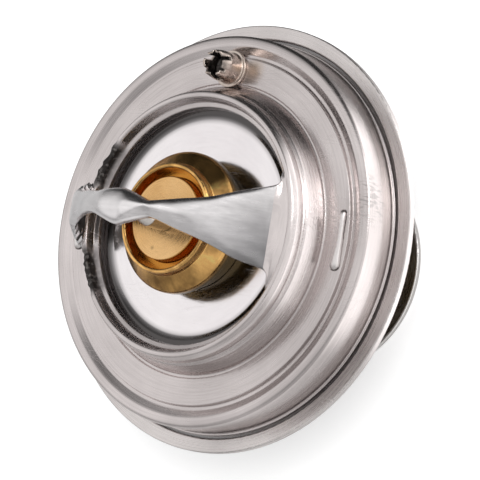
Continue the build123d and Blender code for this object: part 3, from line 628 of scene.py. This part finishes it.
bridgeCup = {  # one stamped sheet with the strap lanced out of it, in mm
    "profile": [  # radius, height, rounding, from the lip over the crest and back underneath
        (30.85, 1.15, 0.15), (30.55, 1.15, 0.15), (30.5, 7.15, 1.3), (28.9, 7.3, 0.9), (27.7, 6.6, 0.4),
        (27.2, 6.6, 0.05), (27.0, 7.25, 0.12), (22.92, 7.2, 0.1), (22.8, 6.9, 0.04), (22.35, 6.9, 1.6),
        (21.36, 10.05, 0.3), (21.1, 10.25, 0.08), (21.24, 10.47, 0.08), (21.02, 10.72, 0.08),
        (21.1, 11.0, 0.08), (20.9, 11.85, 0.6), (20.4, 12.75, 0.45), (19.6, 12.75, 0.45), (19.25, 11.75, 0.4),
        (19.1, 11.3, 0.25), (18.35, 11.1, 0.12), (18.3, 9.8, 0.1), (19.7, 9.8, 0.1), (20.0, 10.95, 0),
        (21.3, 6.0, 0.3), (27.15, 6.0, 0.2), (28.1, 6.1, 0.2), (29.0, 5.2, 0.3), (29.3, 0.25, 0.1),
        (30.85, 0.25, 0.1)],
    "tornFrom": 15.0,  # degrees each side of the far foot
    "tornTo": 39.0,
    "tornEase": (4, 2, 6),  # degrees before and after the start, and before the end
    "tornHeights": (10.9, 12.2),
    "tornDepth": 0.6,
    "tornReach": 0.28,
    "pittedHeights": (10.6, 11.6, 13, 14),  # the torn finish comes in, then goes out
    "ventHole": dict(place=(0, 25.1), radius=2.4, heights=(4, 9), sides=48),
    "strapSheet": 1.05,
    "stations": [  # x, z, lean of the section, flat shift, flat half, flank shift, half, drop, dish
        (-20.75, 11.3, 84, 0.0, 4.3, 0.1, 5.2, 0.35, 0.0),
        (-20.65, 13.0, 82, 0.1, 3.9, 0.2, 4.9, 0.45, 0.05),
        (-20.3, 15.0, 72, 0.3, 2.9, 0.4, 3.9, 0.8, 0.05),
        (-19.4, 17.0, 55, 0.5, 2.0, 0.7, 2.9, 1.1, 0.0),
        (-17.8, 18.45, 30, 0.65, 1.5, 0.9, 2.4, 1.3, -0.1),
        (-15.6, 19.9, 8, 0.65, 1.15, 1.05, 2.05, 1.4, -0.1),
        (-13.0, 21.75, 0, 0.6, 0.95, 1.15, 1.9, 1.5, -0.1),
        (-9.0, 24.35, 0, 0.2, 0.85, 0.95, 1.75, 1.6, -0.1),
        (-5.8, 26.0, 0, 0.1, 1.1, 0.6, 2.3, 1.7, -0.15),
        (-2.5, 26.66, 0, -0.2, 1.6, 0.2, 2.85, 1.8, -0.2),
        (-0.4, 26.70, 0, -0.25, 1.45, 0.2, 2.4, 1.8, -0.2),
        (2.2, 25.7, 0, 0.6, 0.3, 0.22, 1.4, 1.8, -0.05),
        (3.6, 24.95, 0, 0.5, 0.5, 0.28, 1.5, 1.7, -0.15),
        (6.0, 22.9, 0, 0.35, 1.2, 0.2, 2.35, 1.6, -0.35),
        (9.5, 20.05, 0, 0.2, 2.4, 0.08, 3.45, 1.4, -0.4),
        (13.4, 16.9, 0, 0.15, 4.05, 0.1, 5.2, 1.1, 0.1),
        (16.4, 14.55, 0, 0.25, 5.45, 0.25, 6.1, 0.6, 0.3),
        (17.35, 13.8, 0, 0.3, 6.05, 0.3, 6.55, 0.45, 0.05),
        (18.3, 13.25, 0, 0.2, 6.9, 0.2, 7.5, 0.45, 0.0),
        (19.2, 12.9, 0, 0.1, 8.0, 0.1, 8.8, 0.5, 0.0),
        (20.0, 12.6, 0, 0.1, 8.2, 0.1, 9.0, 0.5, 0.0)],
    "rows": 150,
    "across": 25,
    "swell": 0.8,  # fullness of the strap's flanks
    "flankDrop": 0.35,
    "foldCut": 0.22,
    "ragged": (-20.2, -17.5),  # the knee is ragged between these places
    "raggedHalf": 0.5,
    "raggedShift": 0.3,
    "apron": (17.2, 19.4),  # the fan takes up the crest's curve between these places
    "crestRadius": 20.0,
    "apronHalf": 15.0,
    "dents": ((0.10, 0.35), (0.03, 1.3)),  # depth, fineness
    "bendPlace": 17.4,  # past the bend the strap is finished like the crest
    "undersideShadeFrom": 12.9,  # above this the strap's underside gets painted shade
    "undersideShadeTilt": -0.12,
    "undersideShadeHalf": 7,
    "sharp": 38,
}


def tornShare(angle):  # how far the crest is torn at this angle
    away = abs(math.degrees(angle) - 180.0)
    start, end = bridgeCup["tornFrom"], bridgeCup["tornTo"]
    before, after, last = bridgeCup["tornEase"]
    return ease(away, start - before, start + after) * (1 - ease(away, end - last, end))


def tornCrest(r, z, angle):
    share = tornShare(angle) * ease(z, *bridgeCup["tornHeights"])
    if share > 0:
        spot = Vector((angle * 15, r * 0.7, z * 0.7))
        z -= share * bridgeCup["tornDepth"] * (0.75 + 0.7 * noise.noise(spot))
        r += share * (bridgeCup["tornReach"] * noise.noise(spot * 1.9 + Vector((7, 0, 0))) + 0.1)
    return r, z


def along(stations, share):  # smooth values between the stations
    place = share * (len(stations) - 1)
    k = min(int(place), len(stations) - 2)
    part = place - k
    four = [stations[min(max(k + step, 0), len(stations) - 1)] for step in (-1, 0, 1, 2)]
    return [0.5 * (2 * b + (c - a) * part + (2 * a - 5 * b + 4 * c - d) * part ** 2
                   + (3 * b - a - 3 * c + d) * part ** 3) for a, b, c, d in zip(*four)]


def softened(line):  # two rounds of corner cutting soften the folds
    part = bridgeCup["foldCut"]
    for _ in range(2):
        cut = [line[0]]
        for a, b in zip(line, line[1:]):
            cut += [a.lerp(b, part), a.lerp(b, 1 - part)]
        line = cut + [line[-1]]
    return line


def evenly(line, count):  # points evenly along the line
    lengths = [0.0]
    for a, b in zip(line, line[1:]):
        lengths.append(lengths[-1] + (b - a).length)
    points = []
    for step in range(count):
        reach = lengths[-1] * step / (count - 1)
        k = max(i for i in range(len(lengths)) if lengths[i] <= reach + 1e-9)
        k = min(k, len(line) - 2)
        part = (reach - lengths[k]) / max(lengths[k + 1] - lengths[k], 1e-9)
        points.append(line[k].lerp(line[k + 1], part))
    return points


def strapSection(flatShift, flat, shift, half, drop, dish):  # across and down, outer line then inner
    count, swell, part = bridgeCup["across"], bridgeCup["swell"], bridgeCup["flankDrop"]
    knots = [(shift - half, drop),
             (flatShift - flat + swell * (shift - half - flatShift + flat), part * drop),
             (flatShift - flat, 0), (flatShift, dish), (flatShift + flat, 0),
             (flatShift + flat + swell * (shift + half - flatShift - flat), part * drop),
             (shift + half, drop)]
    outer = evenly(softened([Vector(knot) for knot in knots]), count)
    depth = min(bridgeCup["strapSheet"], 0.5 * half)
    inner = []
    for k, spot in enumerate(outer):
        run = outer[min(k + 1, count - 1)] - outer[max(k - 1, 0)]
        inner.append(spot + Vector((-run.y, run.x)).normalized() * depth)
    for k in range(1, count):  # the inner line never doubles back
        if inner[k].x < inner[k - 1].x:
            inner[k].x = inner[k - 1].x + 1e-3
    return outer + inner[::-1]


def makeStrap():
    verts = []
    rows, count, radius = bridgeCup["rows"], bridgeCup["across"], bridgeCup["crestRadius"]
    ring = 2 * count
    for row in range(rows):
        x, z, lean, flatShift, flat, shift, half, drop, dish = along(bridgeCup["stations"], row / (rows - 1))
        ragged = 1 - ease(x, *bridgeCup["ragged"])
        half += ragged * bridgeCup["raggedHalf"] * noise.noise(Vector((z * 1.7, 3.1, 0)))
        shift += ragged * bridgeCup["raggedShift"] * noise.noise(Vector((z * 2.3, 9.4, 0)))
        tilt = math.radians(lean)
        down = Vector((math.sin(tilt), 0, -math.cos(tilt)))
        for spot in strapSection(flatShift, flat, shift, half, drop, dish):
            place = Vector((x, 0, z)) + Vector((0, spot.x, 0)) + down * spot.y
            aside = min(abs(spot.x), bridgeCup["apronHalf"])
            place.x -= ease(x, *bridgeCup["apron"]) * (radius - math.sqrt(radius ** 2 - aside ** 2))
            dent = sum(depth * noise.noise(place * fine) for depth, fine in bridgeCup["dents"])
            verts.append((place - down * dent) * mm)
    faces = skin(rows, ring)
    for start in (0, (rows - 1) * ring):
        for k in range(count - 1):
            faces.append((start + k, start + k + 1, start + ring - 2 - k, start + ring - 1 - k))
    strap = closed("strap", verts, faces)
    strap.data.materials.append(materials["strapSteel"])
    return strap


stirrupTabs = {  # the stirrup's two tabs, put through slots in the cup and hammered over, in mm
    "place": 26.05,
    "stations": [  # y, shift, half width, fullness
        (-4.5, -0.62, 0.12, 0.1), (-4.38, -0.62, 0.45, 0.4), (-4.1, -0.6, 0.7, 0.8), (-3.6, -0.6, 0.8, 1.0),
        (-2.2, -0.48, 0.64, 0.95), (-0.5, -0.34, 0.5, 0.85), (1.5, -0.34, 0.47, 0.9),
        (3.2, -0.42, 0.53, 0.95), (4.0, -0.46, 0.46, 0.75), (4.3, -0.48, 0.32, 0.4),
        (4.42, -0.48, 0.1, 0.1)],
    "halfLength": 4.4,
    "rows": 72,
    "across": 11,
    "crown": 0.5,
    "slot": (0.12, 4, 9.5),  # how much it grows, then from and to this height
    "tab": (0.0, 6.2, 7.9),
    "trim": (1.5, 6, 6.4, 12),  # half width, half length, then from and to this height
    "sharp": 32,
}


def bar(name, side, grow, low, high):  # tapered rounded bar, the tab's own shape
    verts = []
    rows, count, crown = stirrupTabs["rows"], stirrupTabs["across"], stirrupTabs["crown"]
    for row in range(rows):
        y, shift, half, lift = along(stirrupTabs["stations"], row / (rows - 1))
        half, y = half + grow, y * (1 + grow / stirrupTabs["halfLength"])
        for k in range(count):
            turn = math.pi * k / (count - 1)
            x = shift - half * math.cos(turn)
            z = low if k in (0, count - 1) else max(low, high - crown + crown * lift * math.sin(turn))
            verts.append((side * (stirrupTabs["place"] + x) * mm, y * mm, z * mm))
    ends = [tuple(range(count)), tuple((rows - 1) * count + k for k in range(count))]
    return closed(name, verts, skin(rows, count) + ends)


def makeBridgeCup():
    ring = spun("ring", rounded(bridgeCup["profile"]), change=tornCrest)
    ring.data.materials.append(materials["cupSteel"])
    cuts = [bar("slot", side, *stirrupTabs["slot"]) for side in (-1, 1)]
    hole = bridgeCup["ventHole"]
    reach, (low, high) = hole["radius"], hole["heights"]
    line = [Vector((0, low)), Vector((reach, low)), Vector((reach, high)), Vector((0, high))]
    cuts.append(spun("hole", line, hole["sides"], hole["place"]))
    cup = combined("bridgeCup", ring, [("UNION", makeStrap())] + [("DIFFERENCE", cut) for cut in cuts])
    smoothed(cup.data, bridgeCup["sharp"])
    tearAndShade = cup.data.attributes.new("tearAndShade", "FLOAT", "POINT")
    a, b, c, d = bridgeCup["pittedHeights"]
    for k, vert in enumerate(cup.data.vertices):
        x, y, z = vert.co / mm
        tearAndShade.data[k].value = tornShare(math.atan2(y, x) % (2 * math.pi)) * ease(z, a, b) * (1 - ease(z, c, d))
    # the strap's underside gets painted shade
    cup.data.materials.append(materials["strapUndersideShade"])
    for face in cup.data.polygons:
        x, y, z = face.center
        under = z > bridgeCup["undersideShadeFrom"] * mm and face.normal.z < bridgeCup["undersideShadeTilt"]
        if x > bridgeCup["bendPlace"] * mm:
            face.material_index = 0
        elif under and abs(y) < bridgeCup["undersideShadeHalf"] * mm:
            face.material_index = len(cup.data.materials) - 1
    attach(cup, "housing")
    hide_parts("bridge_cup")


def makeStirrup():  # the stirrup of the solids, with its two tabs hammered over
    mesh = nodes["stirrup"].data.copy()
    mesh.transform(nodes["stirrup"].matrix_world)
    mesh.materials.clear()
    mesh.materials.append(materials["stirrupSteel"])
    base = linked(outward(mesh), "stirrupBase")
    place = stirrupTabs["place"]
    wide, long, low, high = stirrupTabs["trim"]
    changes = [("DIFFERENCE", block("trim", (side * place - wide, -long, low),
                                    (side * place + wide, long, high))) for side in (-1, 1)]
    changes += [("UNION", bar("tab", side, *stirrupTabs["tab"])) for side in (-1, 1)]
    stirrup = combined("stirrupTabs", base, changes)
    smoothed(stirrup.data, stirrupTabs["sharp"])
    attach(stirrup, "housing")
    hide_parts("stirrup")


makeBridgeCup()
makeStirrup()
print("bridge cup and stirrup ready")

ventTube = {  # thin sleeve with a crimped, split mouth, in mm
    "place": (0, 25.1),
    "profile": [(1.05, 7.25, 0), (2.9, 7.25, 0.12), (2.9, 7.8, 0.1), (2.4, 7.8, 0.15), (2.35, 10.3, 0.6),
                (2.05, 12.0, 0.1), (1.7, 12.0, 0.1), (1.93, 10.2, 0.5), (1.93, 8.68, 0), (1.05, 7.8, 0)],
    "sides": 96,
    "splits": [  # heading in degrees, width, from this height
        (28, 0.7, 10.3), (95, 0.4, 11.0), (148, 0.9, 10.1), (205, 0.5, 11.0), (275, 1.2, 9.9),
        (330, 0.4, 11)],
    "splitReach": (0.6, 4),  # from and to this distance off the tube's axis
    "splitTop": 14,
    "crimp": (10.0, 12.0),  # the mouth bends in between these heights
    "bend": 0.4,
    "jag": 0.5,
    "darkRadius": (1.9, 2.1),  # the tube is painted shade within this radius, up to the mouth
    "darkTop": (11.5, 12.0),
    "sharp": 35,
}


def crimped(r, z, angle):
    share = ease(z, *ventTube["crimp"])
    wave = noise.noise(Vector((2.1 * math.cos(angle), 2.1 * math.sin(angle), 4.2)))
    return r + share * ventTube["bend"] * (1.2 * wave - 0.2), z + share * ventTube["jag"] * (wave - 0.3)


def makeVentTube():
    x, y = ventTube["place"]
    near, far = ventTube["splitReach"]
    sleeve = spun("sleeve", rounded(ventTube["profile"]), ventTube["sides"], (x, y), crimped)
    sleeve.data.materials.append(materials["tubeNickel"])
    cuts = []
    for turn, width, low in ventTube["splits"]:
        cut = block("split", (near, -width / 2, low), (far, width / 2, ventTube["splitTop"]))
        turned = Matrix.Rotation(math.radians(turn), 4, "Z")
        cut.data.transform(Matrix.Translation((x * mm, y * mm, 0)) @ turned)
        cuts.append(("DIFFERENCE", cut))
    tube = combined("ventSleeve", sleeve, cuts)
    smoothed(tube.data, ventTube["sharp"])
    paintedShadeInside = tube.data.attributes.new("paintedShadeInside", "FLOAT", "POINT")
    for k, vert in enumerate(tube.data.vertices):
        reach = math.hypot(vert.co.x / mm - x, vert.co.y / mm - y)
        within = 1 - ease(reach, *ventTube["darkRadius"])
        paintedShadeInside.data[k].value = within * (1 - ease(vert.co.z / mm, *ventTube["darkTop"]))
    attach(tube, "housing")
    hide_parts("vent_tube")


makeVentTube()
print("vent tube ready")

springs = {  # inputs of the coil tree in mm, then how each coil is held
    "mainSpring": dict(inputs={"Turns": 4.0, "Bottom Radius": 12.6, "Top Radius": 14.8, "Bottom": -12.45,
                               "Top": 8.3, "Wire": 2.2, "Points": 320, "Sides": 18},
                       body="housing", joint="valve_lift", anchor=-12.45, keep=0.6145, node="main_spring"),
    "bypassSpring": dict(inputs={"Turns": 2.5, "Bottom Radius": 7.2, "Top Radius": 6.2,
                                 "Bottom": -24.25, "Top": -18.25, "Wire": 1.3, "Points": 180, "Sides": 14},
                         body="capsule", joint="bypass_slide", anchor=-18.25, keep=0.4167,
                         node="bypass_spring"),
}


def coilTree():  # wire wound from bottom to top, with both ends ground flat
    tree = bpy.data.node_groups.new("groundCoil", "GeometryNodeTree")
    for label, kind in (("Turns", "Float"), ("Bottom Radius", "Float"), ("Top Radius", "Float"),
                        ("Bottom", "Float"), ("Top", "Float"), ("Wire", "Float"), ("Points", "Int"),
                        ("Sides", "Int"), ("Material", "Material")):
        tree.interface.new_socket(name=label, in_out="INPUT", socket_type="NodeSocket" + kind)
    tree.interface.new_socket(name="Geometry", in_out="OUTPUT", socket_type="NodeSocketGeometry")
    given = tree.nodes.new("NodeGroupInput").outputs
    made = tree.nodes.new("NodeGroupOutput").inputs

    def add(kind, links=None, **settings):
        return addNode(tree, kind, links, **settings)

    def sums(operation, *values):
        return add("ShaderNodeMath", dict(enumerate(values)), operation=operation).outputs[0]

    steps = sums("SUBTRACT", given["Points"], 1.0)
    share = sums("DIVIDE", add("GeometryNodeInputIndex").outputs[0], steps)
    angle = sums("MULTIPLY", sums("MULTIPLY", share, given["Turns"]), 2 * math.pi)
    spread = sums("SUBTRACT", given["Top Radius"], given["Bottom Radius"])
    radius = sums("MULTIPLY_ADD", share, spread, given["Bottom Radius"])
    rise = sums("SUBTRACT", given["Top"], given["Bottom"])
    height = sums("MULTIPLY_ADD", share, rise, given["Bottom"])
    spot = add("ShaderNodeCombineXYZ", {0: sums("MULTIPLY", radius, sums("COSINE", angle)),
                                        1: sums("MULTIPLY", radius, sums("SINE", angle)), 2: height})
    line = add("GeometryNodeMeshLine", {"Count": given["Points"]})
    path = add("GeometryNodeMeshToCurve", {"Mesh": line.outputs[0]})
    path = add("GeometryNodeSetPosition", {"Geometry": path.outputs[0], "Position": spot.outputs[0]})
    half = sums("MULTIPLY", given["Wire"], 0.5)
    ring = add("GeometryNodeCurvePrimitiveCircle", {"Resolution": given["Sides"], "Radius": half})
    wire = add("GeometryNodeCurveToMesh", {"Curve": path.outputs[0], "Profile Curve": ring.outputs[0],
                                           "Fill Caps": True})
    parts = add("ShaderNodeSeparateXYZ", {0: add("GeometryNodeInputPosition").outputs[0]}).outputs
    level = sums("MINIMUM", sums("MAXIMUM", parts[2], given["Bottom"]), given["Top"])
    ground = add("ShaderNodeCombineXYZ", {0: parts[0], 1: parts[1], 2: level})
    wire = add("GeometryNodeSetPosition", {"Geometry": wire.outputs[0], "Position": ground.outputs[0]})
    wire = add("GeometryNodeRealizeInstances", {"Geometry": wire.outputs[0]})
    wire = add("GeometryNodeSetMaterial", {"Geometry": wire.outputs[0], "Material": given["Material"]})
    tree.links.new(wire.outputs[0], made["Geometry"])
    return tree


def makeSpring(name, tree, inputs, body, joint, anchor, keep, node):
    seed = linked(bpy.data.meshes.new(name + "Seed"), name + "Seed")
    coil = seed.modifiers.new("coil", "NODES")
    coil.node_group = tree
    sockets = {item.name: item.identifier for item in tree.interface.items_tree if item.in_out == "INPUT"}
    for label, value in inputs.items():
        coil[sockets[label]] = value
    coil[sockets["Material"]] = materials["springSteel"]
    bpy.context.view_layer.update()
    mesh = bpy.data.meshes.new_from_object(seed.evaluated_get(bpy.context.evaluated_depsgraph_get()))
    bpy.data.objects.remove(seed)
    mesh.transform(Matrix.Scale(mm, 4))
    spring = linked(outward(mesh), name)
    smoothed(mesh, 40)
    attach(spring, body)
    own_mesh(spring)
    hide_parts(node)


coils = coilTree()
for name, values in springs.items():
    makeSpring(name, coils, **values)
print("springs ready")
